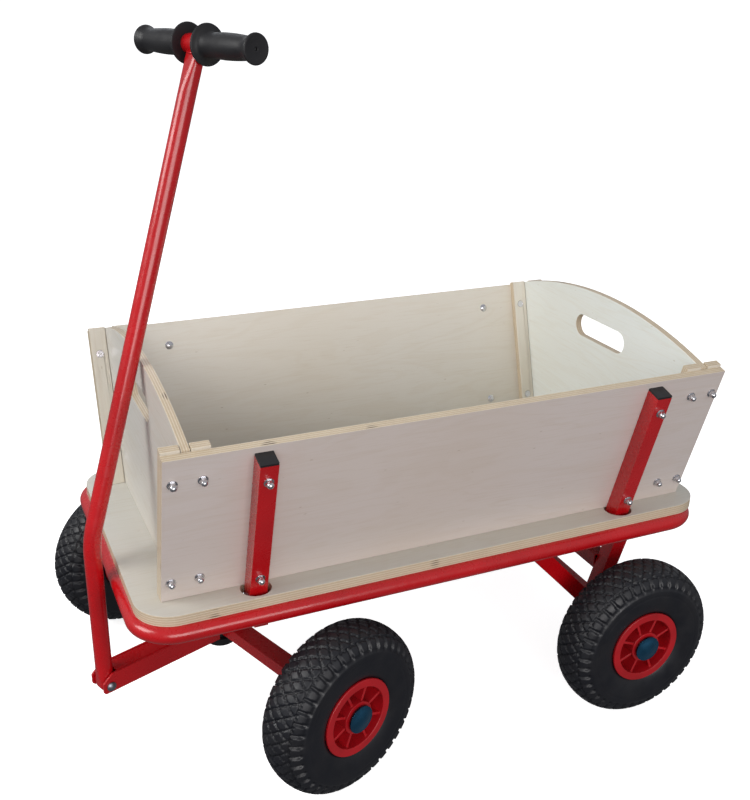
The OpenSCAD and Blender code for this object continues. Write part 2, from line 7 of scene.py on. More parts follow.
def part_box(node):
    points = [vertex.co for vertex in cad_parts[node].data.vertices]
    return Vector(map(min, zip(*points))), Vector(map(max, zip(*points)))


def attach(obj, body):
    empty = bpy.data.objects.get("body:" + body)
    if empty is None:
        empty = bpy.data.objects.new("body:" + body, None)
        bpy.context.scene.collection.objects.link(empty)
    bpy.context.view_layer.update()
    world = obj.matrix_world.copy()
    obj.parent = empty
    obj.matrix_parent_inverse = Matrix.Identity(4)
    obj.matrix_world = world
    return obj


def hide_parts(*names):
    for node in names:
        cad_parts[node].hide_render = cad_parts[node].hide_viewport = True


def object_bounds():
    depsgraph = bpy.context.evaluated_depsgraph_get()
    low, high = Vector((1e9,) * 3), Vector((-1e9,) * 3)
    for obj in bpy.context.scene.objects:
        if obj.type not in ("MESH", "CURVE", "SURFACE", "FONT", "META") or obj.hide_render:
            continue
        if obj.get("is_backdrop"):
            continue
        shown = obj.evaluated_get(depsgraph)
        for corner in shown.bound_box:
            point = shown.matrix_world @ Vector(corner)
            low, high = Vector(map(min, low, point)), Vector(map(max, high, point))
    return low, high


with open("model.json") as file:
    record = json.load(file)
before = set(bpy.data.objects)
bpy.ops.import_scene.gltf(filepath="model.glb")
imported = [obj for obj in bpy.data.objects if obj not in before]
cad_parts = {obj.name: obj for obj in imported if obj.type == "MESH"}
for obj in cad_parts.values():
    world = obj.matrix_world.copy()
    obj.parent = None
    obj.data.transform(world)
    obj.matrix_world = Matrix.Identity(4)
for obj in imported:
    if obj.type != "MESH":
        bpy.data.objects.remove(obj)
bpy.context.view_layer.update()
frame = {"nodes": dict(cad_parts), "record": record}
NODES = frame["nodes"]
J = {j["name"]: j for j in frame["record"]["behaviour"]["joints"]}
mm = 0.001

# ---------------------------------------------------------------- placement
steer = math.atan2(-J["fl_spin"]["axis"][0], J["fl_spin"]["axis"][1])
FWD = Vector((math.cos(steer), math.sin(steer), 0))      # forward on the steered bogie
SIDE = Vector((-math.sin(steer), math.cos(steer), 0))    # left on the steered bogie
kx = J["steering"]["pos_m"][0]                           # kingpin
rear_x = J["rl_spin"]["pos_m"][0]                        # rear axle
splay = math.atan2(J["left_wall_lift"]["axis"][1], J["left_wall_lift"]["axis"][2])
WALL_Y, BED_TOP, RUN, PLY = 0.2008, 0.316, 0.0003, 0.012


def bogie(f, s, z):
    """A point on the steered bogie: f forward of the kingpin, s to the left, z up."""
    return Vector((kx, 0, 0)) + FWD * f + SIDE * s + Vector((0, 0, z))


def wall_matrix(side):
    """Wall frame to row frame: x along the wagon from the rear axle, y outward, z up the slope."""
    m = Matrix.Translation((rear_x, WALL_Y, BED_TOP + RUN)) @ Matrix.Rotation(-splay, 4, "X")
    return Matrix.Diagonal((1, side, 1, 1)) @ m


# ---------------------------------------------------------------- material kit
class Mat:
    def __init__(self, name):
        self.m = bpy.data.materials.new(name)
        self.m.use_nodes = True
        self.t = self.m.node_tree
        self.t.nodes.clear()
        self.out = self.t.nodes.new("ShaderNodeOutputMaterial")
        self.b = self.t.nodes.new("ShaderNodeBsdfPrincipled")
        self.t.links.new(self.b.outputs[0], self.out.inputs[0])
        self._obj = None

    def node(self, kind, **kw):
        n = self.t.nodes.new("ShaderNode" + kind)
        for k, v in kw.items():
            setattr(n, k, v)
        return n

    def link(self, a, b):
        self.t.links.new(a, b)

    def put(self, sock, v):
        if hasattr(v, "links"):
            self.link(v, sock)
        else:
            sock.default_value = v

    def set(self, name, v):
        self.put(self.b.inputs[name], v)

    def obj(self):
        if self._obj is None:
            self._obj = self.node("TexCoord")
        return self._obj.outputs["Object"]

    def objn(self):
        self.obj()
        return self._obj.outputs["Normal"]

    def math(self, op, a, b=0.0, c=0.0, clamp=False):
        n = self.node("Math", operation=op)
        n.use_clamp = clamp
        self.put(n.inputs[0], a)
        self.put(n.inputs[1], b)
        self.put(n.inputs[2], c)
        return n.outputs[0]

    def vec(self, op, a, b=None, scale=None):
        n = self.node("VectorMath", operation=op)
        self.put(n.inputs[0], a)
        if b is not None:
            self.put(n.inputs[1], b)
        if scale is not None:
            self.put(n.inputs[3], scale)
        return n.outputs["Value"] if op in ("DOT_PRODUCT", "LENGTH", "DISTANCE") else n.outputs[0]

    def mapping(self, v, loc=(0, 0, 0), rot=(0, 0, 0), scale=(1, 1, 1), kind="POINT"):
        n = self.node("Mapping", vector_type=kind)
        self.put(n.inputs[0], v)
        n.inputs["Location"].default_value = loc
        n.inputs["Rotation"].default_value = rot
        n.inputs["Scale"].default_value = scale
        return n.outputs[0]

    def noise(self, v, scale, detail=3, rough=0.5, distort=0.0):
        n = self.node("TexNoise")
        self.put(n.inputs["Vector"], v)
        n.inputs["Scale"].default_value = scale
        n.inputs["Detail"].default_value = detail
        n.inputs["Roughness"].default_value = rough
        n.inputs["Distortion"].default_value = distort
        return n.outputs["Fac"]

    def voronoi(self, v, scale, feature="F1", rnd=1.0):
        n = self.node("TexVoronoi", feature=feature)
        self.put(n.inputs["Vector"], v)
        n.inputs["Scale"].default_value = scale
        n.inputs["Randomness"].default_value = rnd
        return n.outputs["Distance"]

    def ramp(self, f, stops, mode="LINEAR"):
        n = self.node("ValToRGB")
        self.put(n.inputs[0], f)
        r = n.color_ramp
        r.interpolation = mode
        while len(r.elements) < len(stops):
            r.elements.new(0.5)
        for e, (p, c) in zip(r.elements, stops):
            e.position = p
            e.color = tuple(c) + (1,) if len(c) == 3 else c
        return n.outputs[0]

    def range(self, f, a, b, lo=0.0, hi=1.0):
        n = self.node("MapRange")
        self.put(n.inputs[0], f)
        for i, v in enumerate((a, b, lo, hi)):
            self.put(n.inputs[1 + i], v)
        return n.outputs[0]

    def mix(self, f, a, b, mode="MIX"):
        n = self.node("Mix", data_type="RGBA", blend_type=mode)
        self.put(n.inputs[0], f)
        self.put(n.inputs[6], tuple(a) + (1,) if isinstance(a, tuple) and len(a) == 3 else a)
        self.put(n.inputs[7], tuple(b) + (1,) if isinstance(b, tuple) and len(b) == 3 else b)
        return n.outputs[2]

    def bump(self, height, dist, strength=1.0):
        n = self.node("Bump")
        n.inputs["Strength"].default_value = strength
        n.inputs["Distance"].default_value = dist
        self.put(n.inputs["Height"], height)
        self.link(n.outputs[0], self.b.inputs["Normal"])


def srgb(r, g, b):
    f = lambda c: (c / 255 / 12.92) if c / 255 <= 0.04045 else ((c / 255 + 0.055) / 1.055) ** 2.4
    return (f(r), f(g), f(b))


def ply(name, loc, rot, flip, grain, thick_axis, thick0, face=(226, 218, 198), tone=0.0, seed=0.0, layers=7, thick=12.0):
    """Birch ply. loc, rot and flip bring the row frame to the board's own; grain is the axis the face grain follows.
    thick_axis 0..2 is the board's thickness direction and thick0 where its layers start, in metres."""
    k = Mat(name)
    v = k.mapping(k.vec("MULTIPLY", k.obj(), flip), loc=loc, rot=rot, kind="TEXTURE")
    nrm = k.mapping(k.vec("MULTIPLY", k.objn(), flip), rot=rot, kind="TEXTURE")
    axis = [0, 0, 0]
    axis[thick_axis] = 1
    facing = k.range(k.math("ABSOLUTE", k.vec("DOT_PRODUCT", nrm, tuple(axis))), 0.6, 0.8)
    # face: soft long grain, darker flecks and broad cloudy patches
    stretch = [1.0, 1.0, 1.0]
    stretch[grain] = 0.045
    g = k.mapping(v, loc=(seed, seed * 1.7, seed * 0.6), scale=tuple(stretch))
    fine = k.noise(g, 420, 4, 0.62)
    flow = k.noise(k.mapping(v, loc=(seed, 0, 0), scale=tuple(0.16 if i == grain else 1.0 for i in range(3))), 17, 3, 0.5, 0.8)
    rings = k.math("SINE", k.math("MULTIPLY", flow, 46.0))
    cloud = k.noise(k.mapping(v, loc=(seed * 3, 0, 0)), 3.2, 2, 0.5)
    a = srgb(*face)
    warm = (a[0] * 0.95, a[1] * 0.91, a[2] * 0.84)
    col = k.mix(k.range(cloud, 0.35, 0.68, 0.0, 0.55), a, warm)
    col = k.mix(k.range(rings, 0.2, 1.0, 0.0, 0.16), col, (a[0] * 0.86, a[1] * 0.79, a[2] * 0.69))
    col = k.mix(k.range(fine, 0.52, 0.80, 0.0, 0.40), col, (a[0] * 0.82, a[1] * 0.74, a[2] * 0.63))
    fl = k.voronoi(k.mapping(v, loc=(seed, 0, seed), scale=tuple(0.30 if i == grain else 1.0 for i in range(3))), 105)
    fleck = k.math("MULTIPLY", k.range(fl, 0.10, 0.05), k.range(k.noise(v, 31, 1), 0.56, 0.62))
    col = k.mix(k.math("MULTIPLY", fleck, 0.45), col, (a[0] * 0.45, a[1] * 0.34, a[2] * 0.22))
    knot = k.range(k.voronoi(k.mapping(v, loc=(seed * 2, seed, seed)), 5.2), 0.030, 0.012)
    col = k.mix(k.math("MULTIPLY", knot, 0.75), col, srgb(120, 84, 52))
    # edge: veneers with dark glue lines between them
    sep = k.node("SeparateXYZ")
    k.put(sep.inputs[0], v)
    along = k.noise(k.mapping(v, scale=(1, 1, 1)), 46, 3, 0.6)
    w = k.math("MULTIPLY", k.math("ADD", k.math("SUBTRACT", sep.outputs[thick_axis], thick0), k.math("MULTIPLY", k.math("SUBTRACT", along, 0.5), 0.00035)), layers / (thick * mm))
    part = k.math("FRACT", w)
    odd = k.math("GREATER_THAN", k.math("FRACT", k.math("MULTIPLY", w, 0.5)), 0.5)
    ecol = k.mix(odd, srgb(222, 210, 188), srgb(203, 184, 154))
    squash = [60.0, 60.0, 60.0]
    squash[thick_axis] = 700.0
    streak = k.noise(k.mapping(v, scale=tuple(squash)), 4.0, 4, 0.7)
    ecol = k.mix(k.range(streak, 0.42, 0.78, 0.0, 0.45), ecol, srgb(160, 126, 86))
    glue = k.math("GREATER_THAN", k.math("ABSOLUTE", k.math("SUBTRACT", part, 0.5)), 0.43)
    ecol = k.mix(k.math("MULTIPLY", glue, k.range(k.noise(v, 24, 2), 0.36, 0.66, 0.06, 0.55)), ecol, srgb(124, 96, 68))
    gap = k.math("MULTIPLY", k.range(k.voronoi(k.mapping(v, loc=(seed, 0, 0)), 13), 0.17, 0.11), odd)
    ecol = k.mix(k.math("MULTIPLY", gap, 0.85), ecol, srgb(70, 46, 28))
    col = k.mix(facing, ecol, col)
    if tone:
        col = k.mix(tone, col, srgb(205, 178, 158), "MULTIPLY")
    k.set("Base Color", col)
    k.set("Roughness", k.range(fine, 0.3, 0.8, 0.34, 0.50))
    k.set("Coat Weight", 0.10)
    k.b.inputs["Coat Roughness"].default_value = 0.28
    h = k.math("ADD", k.math("MULTIPLY", fine, 0.6), k.math("MULTIPLY", k.math("MULTIPLY", glue, k.math("SUBTRACT", 1.0, facing)), -0.8))
    k.bump(h, 0.00012, 0.6)
    return k.m


def paint(name, rgb=(198, 12, 22), dark=(176, 8, 17), rough=0.20):
    k = Mat(name)
    v = k.obj()
    c = k.noise(v, 9, 3, 0.5)
    col = k.mix(k.range(c, 0.35, 0.7), srgb(*rgb), srgb(*dark))
    chips = k.math("MULTIPLY", k.range(k.noise(v, 230, 2, 0.6), 0.70, 0.76), k.range(k.noise(v, 14, 2), 0.60, 0.70))
    col = k.mix(k.math("MULTIPLY", chips, 0.12), col, srgb(96, 14, 18))
    k.set("Base Color", col)
    k.set("Roughness", k.range(k.noise(v, 60, 3, 0.6), 0.3, 0.7, rough, rough + 0.14))
    k.set("Coat Weight", 0.35)
    k.b.inputs["Coat Roughness"].default_value = 0.06
    k.bump(k.noise(v, 520, 2, 0.5), 0.00005, 0.35)
    return k.m


def rubber(name, rgb=(22, 22, 26), rough=0.5, dust=0.25, grain=900):
    k = Mat(name)
    v = k.obj()
    n = k.noise(v, 18, 4, 0.6)
    col = k.mix(k.range(n, 0.42, 0.75, 0.0, dust), srgb(*rgb), srgb(78, 72, 64))
    k.set("Base Color", col)
    k.set("Roughness", k.range(k.noise(v, 40, 3), 0.3, 0.7, rough - 0.08, rough + 0.14))
    k.bump(k.noise(v, grain, 3, 0.6), 0.00010, 0.5)
    return k.m


def metal(name, rgb, rough=0.25, scale=300, strength=0.2, dirt=0.2):
    k = Mat(name)
    v = k.obj()
    n = k.noise(v, 55, 4, 0.6)
    col = k.mix(k.range(n, 0.45, 0.8, 0.0, dirt), srgb(*rgb), srgb(int(rgb[0] * 0.45), int(rgb[1] * 0.42), int(rgb[2] * 0.40)))
    k.set("Base Color", col)
    k.set("Metallic", 1.0)
    k.set("Roughness", k.range(k.noise(v, 90, 3), 0.3, 0.7, rough - 0.06, rough + 0.12))
    k.bump(k.noise(v, scale, 3, 0.6), 0.00006, strength)
    return k.m


def plastic(name, rgb, rough=0.4, grain=700, var=0.85):
    k = Mat(name)
    v = k.obj()
    col = k.mix(k.range(k.noise(v, 22, 3), 0.35, 0.75), srgb(*rgb), srgb(*[int(c * var) for c in rgb]))
    k.set("Base Color", col)
    k.set("Roughness", k.range(k.noise(v, 70, 3), 0.3, 0.7, rough - 0.06, rough + 0.10))
    k.bump(k.noise(v, grain, 3, 0.6), 0.00006, 0.35)
    return k.m


RED = paint("red_paint")
RED_DARK = paint("red_paint_shade", (176, 10, 20), (150, 8, 14))
RIM = plastic("rim_red", (186, 20, 30), 0.34)
# The tyre's near-black base colour is the rubber's own, but its blue cast (13, 15, 23) is a painted bluish sheen.
TYRE = rubber("tyre_rubber", (13, 15, 23), 0.42, 0.08)
GRIP = rubber("grip_rubber", (18, 18, 22), 0.52, 0.04, 1400)
BLACK = plastic("black_plastic", (26, 26, 29), 0.42)
BUTYL = rubber("butyl", (30, 30, 32), 0.5, 0.1)
BUSH = plastic("bush_plastic", (205, 205, 198), 0.45)
STEEL = metal("turned_steel", (190, 192, 196), 0.30)
ZINC = metal("bright_zinc", (214, 214, 218), 0.16, 500, 0.12, 0.1)
BLUE = metal("blue_zinc", (60, 118, 154), 0.24, 260, 0.25, 0.3)
DULL = metal("dull_zinc", (150, 152, 160), 0.36)

# boards: chassis frame has x from the rear axle; walls have y outward and z up the slope
PLY_BED = ply("ply_bed", (rear_x, 0, 0), (0, 0, 0), (1, 1, 1), 0, 2, 0.300, (208, 206, 198), seed=0.31, layers=9, thick=16.0)
# The left wall's greyer, pinker face tone (214, 204, 199) is painted shade with a painted red bounce from the frame;
# the board's own ply is as neutral as the other boards.
PLY_L = ply("ply_left_wall", (rear_x, WALL_Y, BED_TOP + RUN), (-splay, 0, 0), (1, 1, 1), 0, 1, -0.012, (214, 204, 199), seed=0.77)
PLY_R = ply("ply_right_wall", (rear_x, WALL_Y, BED_TOP + RUN), (-splay, 0, 0), (1, -1, 1), 0, 1, -0.012, (224, 219, 208), seed=1.43)
PLY_LB = ply("ply_left_batten", (rear_x, WALL_Y, BED_TOP + RUN), (-splay, 0, 0), (1, 1, 1), 2, 1, -0.024, (222, 216, 204), seed=2.1)
PLY_RB = ply("ply_right_batten", (rear_x, WALL_Y, BED_TOP + RUN), (-splay, 0, 0), (1, -1, 1), 2, 1, -0.024, (226, 221, 208), seed=2.9)
box_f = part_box("front_panel")
box_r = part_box("rear_panel")
PLY_F = ply("ply_front_panel", (0, 0, 0), (0, 0, 0), (1, 1, 1), 1, 0, box_f[0][0], (214, 211, 204), seed=3.7)
# The rear panel's near-white face tone (236, 241, 238) is painted light: the board is made brighter than the others
# because it faces the key light.
PLY_B = ply("ply_rear_panel", (0, 0, 0), (0, 0, 0), (1, 1, 1), 1, 0, box_r[0][0], (236, 241, 238), seed=4.6)


# ---------------------------------------------------------------- mesh kit
def mesh_object(name, verts, faces, mats, face_mat=None, smooth=True):
    me = bpy.data.meshes.new(name)
    me.from_pydata([tuple(v) for v in verts], [], faces)
    for m in mats:
        me.materials.append(m)
    if face_mat is not None:
        me.polygons.foreach_set("material_index", face_mat)
    me.polygons.foreach_set("use_smooth", [smooth] * len(me.polygons))
    me.update()
    o = bpy.data.objects.new(name, me)
    bpy.context.scene.collection.objects.link(o)
    return o


def sweep(rings, closed_ends=True):
    """Faces between rings of equal length; verts is the flat list."""
    n = len(rings[0])
    verts = [p for r in rings for p in r]
    faces = []
    for i in range(len(rings) - 1):
        for j in range(n):
            a, b = i * n + j, i * n + (j + 1) % n
            faces.append((a, b, b + n, a + n))
    if closed_ends:
        faces.append(tuple(range(n - 1, -1, -1)))
        faces.append(tuple((len(rings) - 1) * n + j for j in range(n)))
    return verts, faces


def lathe(profile, centre, axis, n=64):
    """profile: (distance along axis, radius). Returns verts and faces."""
    axis = Vector(axis).normalized()
    u = axis.orthogonal().normalized()
    w = axis.cross(u)
    rings = []
    for q, r in profile:
        rings.append([Vector(centre) + axis * q + (u * math.cos(t) + w * math.sin(t)) * max(r, 1e-5) for t in np.linspace(0, 2 * math.pi, n, endpoint=False)])
    return sweep(rings, True)


def catmull(points, steps):
    """Smooth curve through 2-D points."""
    p = [np.array(q, float) for q in points]
    p = [2 * p[0] - p[1]] + p + [2 * p[-1] - p[-2]]
    out = []
    for i in range(1, len(p) - 2):
        for s in range(steps):
            t = s / steps
            a, b, c, d = p[i - 1], p[i], p[i + 1], p[i + 2]
            out.append(0.5 * ((2 * b) + (c - a) * t + (2 * a - 5 * b + 4 * c - d) * t * t + (3 * b - a - 3 * c + d) * t ** 3))
    out.append(p[-2])
    return out


def join(parts):
    verts, faces = [], []
    for v, f in parts:
        k = len(verts)
        verts += list(v)
        faces += [tuple(i + k for i in q) for q in f]
    return verts, faces


def finish_piece(o, body, slot, *nodes):
    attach(o, body)
    if nodes:
        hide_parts(*nodes)


# ---------------------------------------------------------------- tyres
N = 504                # steps round the tyre
LUGS = 42              # shoulder lugs round the tyre
prof = [(57.0, 27.5), (60.3, 33.0), (63, 35.6), (67, 37.4), (72, 39.0), (78, 40.2), (84, 40.8), (90, 41.0), (95, 40.9), (100, 40.6), (105, 39.6), (110, 37.9), (114, 35.9), (118, 32.9), (121, 29.9), (123.6, 26.2), (126, 21.6), (127.8, 16.4), (129, 10.8), (129.8, 5.2), (130, 0)]
half = catmull(prof, 3)
full = np.array([(r, y) for r, y in half] + [(r, -y) for r, y in half[-2::-1]])
seg = np.hypot(*np.diff(full, axis=0).T)
arc = np.concatenate([[0], np.cumsum(seg)])
arc -= arc[len(half) - 1]                      # 0 at the crown, negative on the outer side
# even out the points along the tread so that the grooves are sharp
tread_s = np.linspace(-58, 58, 107)
side_s = [s for s in arc if s < -58.5]
S = np.array(side_s + list(tread_s) + [-s for s in side_s[::-1]])
R = np.interp(S, arc, full[:, 0])
Y = np.interp(S, arc, full[:, 1])
tr, ty = np.gradient(R), np.gradient(Y)
ln = np.hypot(tr, ty)
NR, NY = -ty / ln, tr / ln                     # outward normal of the profile
NR, NY = (NR, NY) if NR[len(S) // 2] > 0 else (-NR, -NY)


def tread(th, s):
    """Depth in mm taken off the outer surface at angle th and arc position s."""
    lug = th * LUGS / (2 * math.pi)
    a = abs(s)
    tri = lambda x: abs((x % 1.0) - 0.5) * 2            # 0 at half, 1 at whole numbers
    depth = 0.0
    if a < 33:
        # diamond blocks across the crown, their sides broken into steps
        step = 0.9 * math.copysign(1, math.sin(lug * 8 * math.pi)) * min(1, abs(math.sin(lug * 8 * math.pi)) * 3)
        g = max(tri(lug + (s + step) / 27.0), tri(lug - (s - step) / 27.0))
        depth = 2.9 * min(1, max(0, (g - 0.80) / 0.08))
    if 29.5 < a < 31.5:
        depth = max(depth, 2.3)
    if a >= 30.5:
        # shoulder lugs, split by grooves that open towards the side
        shift = 0.0 if s > 0 else 0.5
        g = tri(lug + shift)
        wide = 0.76 - 0.16 * min(1, (a - 30.5) / 16)
        fade = 1 - max(0, min(1, (a - 47) / 7))
        depth = max(depth, 3.8 * min(1, max(0, (g - wide) / 0.10)) * fade)
        if 46 < a < 54:
            depth = max(depth, 0.9 * math.sin((a - 46) / 8 * math.pi) * (1 if g < wide else 0.5))
    if 74 < a < 75.5 or 62 < a < 63:
        depth = max(depth, 0.5)
    return depth


th = np.linspace(0, 2 * math.pi, N, endpoint=False)
D = np.array([[tread(t, s) for s in S] for t in th])
RR = (R[None, :] - D * np.abs(NR)[None, :]) * mm
YY = (Y[None, :] - D * NY[None, :]) * mm
X3 = RR * np.sin(th)[:, None]
Z3 = RR * np.cos(th)[:, None]
V = np.stack([X3, YY, Z3], -1).reshape(-1, 3)
M = len(S)
F = []
for i in range(N):
    i2 = (i + 1) % N
    for j in range(M - 1):
        F.append((i * M + j, i * M + j + 1, i2 * M + j + 1, i2 * M + j))
# close the bore behind the beads
base = len(V)
inner = []
for i in range(N):
    t = th[i]
    for rr, yy in ((55.8, 26.0), (55.8, -26.0)):
        inner.append((rr * mm * math.sin(t), yy * mm, rr * mm * math.cos(t)))
V = np.concatenate([V, np.array(inner)])
for i in range(N):
    i2 = (i + 1) % N
    F.append((i * M, i2 * M, base + i2 * 2, base + i * 2))
    F.append((i * M + M - 1, base + i * 2 + 1, base + i2 * 2 + 1, i2 * M + M - 1))
    F.append((base + i * 2, base + i2 * 2, base + i2 * 2 + 1, base + i * 2 + 1))
tyre_mesh = bpy.data.meshes.new("tread")
tyre_mesh.from_pydata([tuple(v) for v in V], [], F)
tyre_mesh.materials.append(TYRE)
tyre_mesh.polygons.foreach_set("use_smooth", [True] * len(tyre_mesh.polygons))


def wheel_matrix(w):
    c = Vector(J[w + "_spin"]["pos_m"])
    a = steer if w[0] == "f" else 0.0
    return Matrix.Translation(c) @ Matrix.Rotation(a, 4, "Z")


for w, turn in (("fl", 0.35), ("fr", 1.3), ("rl", 2.05), ("rr", 0.8)):
    mat = wheel_matrix(w) @ Matrix.Rotation(turn, 4, "Y")
    if w[1] == "r":
        mat = mat @ Matrix.Rotation(math.pi, 4, "Z")
    me = tyre_mesh.copy()
    me.transform(mat)
    o = bpy.data.objects.new(w + "_tread", me)
    bpy.context.scene.collection.objects.link(o)
    finish_piece(o, w + "_wheel", "tyre", w + "_tyre")

# ---------------------------------------------------------------- grips
bar = bogie(0, 0, 0)
lo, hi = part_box("t_bar_tube")
bar_c = Vector(((lo[0] + hi[0]) / 2, (lo[1] + hi[1]) / 2, (lo[2] + hi[2]) / 2))
grip_prof = [(20.5, 13.4), (20.5, 20), (20.6, 25.6), (21.0, 26.6), (21.9, 27.1), (22.9, 26.9), (23.6, 26.0), (24.2, 23.5), (25.0, 20.8), (26.6, 18.6), (29.5, 17.2), (34, 16.4), (42, 16.3),
             (54, 16.9), (66, 17.1), (80, 16.8), (94, 16.0), (103, 15.3), (108, 15.4), (112, 16.3), (115.5, 17.9), (118, 19.1), (119.6, 19.6), (121.0, 19.4), (121.8, 18.7), (122.0, 17.6), (121.6, 14.0), (121.1, 8.0), (121.0, 2.4), (119.5, 2.1), (118, 1.9)]
for s, name in ((1, "left"), (-1, "right")):
    pts = [((q if q < 34 else 34 + (q - 34) * 92 / 88) * mm, r * mm) for q, r in catmull(grip_prof, 4)]
    o = mesh_object("grip_" + name + "_rubber", *lathe(pts, bar_c, SIDE * s, 72), [GRIP])
    finish_piece(o, "pole", "grip_rubber", "grip_" + name)

# ---------------------------------------------------------------- pole
POLE_F, PIVOT_Z, BEND_Z, LEAN, BEND_R = 0.212, 0.117, 0.357, math.radians(18.4), 0.160
bt = BEND_R * math.tan(LEAN / 2)
path = []                                    # (f, z, direction angle, half thickness fore-aft, half width)
r0 = 12.5 * mm


def smooth(a, b, x):
    t = min(1, max(0, (x - a) / (b - a)))
    return t * t * (3 - 2 * t)


def size_at(s_top, s_foot):
    """Half thickness fore-aft and half width, flattened at the top weld and at the foot."""
    k = 1 - smooth(0, 0.060, s_top)
    a, b = r0 * (1 - 0.34 * k), r0 * (1 + 0.16 * k)
    k = 1 - smooth(0.012, 0.050, s_foot)
    return a * (1 - 0.10 * k), b * (1 + 0.06 * k)


up_len = (bar_c.z - BEND_Z) / math.cos(LEAN)
total = (BEND_Z - bt - PIVOT_Z) + BEND_R * LEAN + up_len - bt
stations = []
for dz in (12.42, 12.0, 11.2, 9.8, 7.8, 5.2, 2.6):
    stations.append((POLE_F, PIVOT_Z - dz * mm, 0.0))
z = PIVOT_Z
while z < BEND_Z - bt:
    stations.append((POLE_F, z, 0.0))
    z += 0.008
for i in range(17):
    a = LEAN * i / 16
    stations.append((POLE_F - BEND_R + BEND_R * math.cos(a), BEND_Z - bt + BEND_R * math.sin(a), a))
f1, z1 = stations[-1][:2]
steps = 84
run_up = up_len - bt - 0.0095
for i in range(1, steps + 1):
    q = run_up * i / steps
    stations.append((f1 - math.sin(LEAN) * q, z1 + math.cos(LEAN) * q, LEAN))
rings = []
dist = 0.0
last = None
lengths = []
for f, zz, a in stations:
    if last is not None:
        dist += math.hypot(f - last[0], zz - last[1])
    last = (f, zz)
    lengths.append(dist)
for (f, zz, a), d in zip(stations, lengths):
    ta, tb = size_at(lengths[-1] - d, d)
    if zz < PIVOT_Z:                        # round end, so that the foot turns clear of the drawbar
        ta = min(ta, math.sqrt(max(1e-8, (12.5 * mm) ** 2 - (PIVOT_Z - zz) ** 2)))
    c = bogie(f, 0, zz)
    ahead = FWD * math.cos(a) + Vector((0, 0, math.sin(a)))
    ring = []
    for t in np.linspace(0, 2 * math.pi, 56, endpoint=False):
        # superellipse: rounder in the middle, flatter where the tube is pressed
        n = 2.0 + 1.6 * (1 - smooth(0, 0.055, lengths[-1] - d)) + 1.4 * (1 - smooth(0.010, 0.045, d))
        cx, sx = math.cos(t), math.sin(t)
        ring.append(c + ahead * (ta * math.copysign(abs(cx) ** (2 / n), cx)) + SIDE * (tb * math.copysign(abs(sx) ** (2 / n), sx)))
    rings.append(ring)
v1 = sweep(rings)
v2 = lathe([(-14.6 * mm, 6.5 * mm), (-14.6 * mm, 9.4 * mm), (-14.0 * mm, 10 * mm), (14.0 * mm, 10 * mm), (14.6 * mm, 9.4 * mm), (14.6 * mm, 6.5 * mm)], bogie(POLE_F, 0, PIVOT_Z), SIDE, 40)
# weld bead where the pole meets the cross tube
top = bogie(*[stations[-1][0], 0, stations[-1][1]])
up_dir = -FWD * math.sin(LEAN) + Vector((0, 0, math.cos(LEAN)))
bead = []
for t in np.linspace(0, 2 * math.pi, 72, endpoint=False):
    ta, tb = size_at(0, 1)
    ahead = FWD * math.cos(LEAN) + Vector((0, 0, math.sin(LEAN)))
    wob = 1 + 0.06 * math.sin(t * 17) + 0.04 * math.sin(t * 29 + 1)
    lift = -0.0010 + 0.0034 * abs(math.cos(t)) ** 2 * -1.0
    base_p = top + ahead * (math.cos(t) * ta * 1.02) + SIDE * (math.sin(t) * tb * 1.0) + up_dir * lift
    out = (ahead * math.cos(t) + SIDE * math.sin(t)).normalized()
    rad = 0.0019 * wob
    bead.append([base_p + (out * math.cos(p) + up_dir * math.sin(p)) * rad for p in np.linspace(0, 2 * math.pi, 10, endpoint=False)])
vb, fb = sweep(bead + [bead[0]], False)
o = mesh_object("pole_tube", *join([v1, v2, (vb, fb)]), [RED])
finish_piece(o, "pole", "frame_red", "pole")


# ---------------------------------------------------------------- screws on the walls
def cross_head(c, u, v, n, r, dome, dip):
    """Round head with a cross recess: c centre on the surface, u and v in the surface, n outward."""
    verts, faces = [], []
    bm_n = 48
    rings_r = [1.0, 0.96, 0.86, 0.72, 0.60, 0.50, 0.42, 0.34, 0.27, 0.20, 0.13, 0.06]
    for k, q in enumerate(rings_r):
        for t in np.linspace(0, 2 * math.pi, bm_n, endpoint=False):
            h = dome * (1 - q * q)
            x, y = q * math.cos(t), q * math.sin(t)
            arm = min(abs(x), abs(y))
            reach = max(abs(x), abs(y))
            if arm < 0.13 and reach < 0.56:
                h -= dip
            elif reach < 0.24:
                h -= dip
            verts.append(c + (u * x + v * y) * r + n * h)
    for k in range(len(rings_r) - 1):
        for j in range(bm_n):
            a, b = k * bm_n + j, k * bm_n + (j + 1) % bm_n
            faces.append((a, b, b + bm_n, a + bm_n))
    faces.append(tuple((len(rings_r) - 1) * bm_n + j for j in range(bm_n)))
    return verts, faces


wall_x0, wall_x1 = -0.1365, 0.7295
batten_w, batten_gap = 0.0255, 0.0135
batten_in = batten_w * 1.5 + batten_gap
batten_c = [wall_x0 + batten_w / 2, wall_x0 + batten_in, wall_x1 - batten_in, wall_x1 - batten_w / 2]
stake_x = [-0.009, 0.600]
for side, name in ((1, "left"), (-1, "right")):
    m = wall_matrix(side)
    rot = m.to_3x3()
    parts = []
    for i, x in enumerate(batten_c):
        for j, z in enumerate((0.035, 0.211)):
            a = 0.6 + 1.7 * i + 0.9 * j
            u = rot @ Vector((math.cos(a), 0, math.sin(a)))
            v = rot @ Vector((-math.sin(a), 0, math.cos(a)))
            parts.append(cross_head(m @ Vector((x, -2 * PLY - 0.0001, z)), u, v, rot @ Vector((0, -1, 0)), 0.0059, 0.0002, 0.0011))
    o = mesh_object(name + "_screw_faces", *join(parts), [ZINC])
    finish_piece(o, name + "_wall", "zinc")

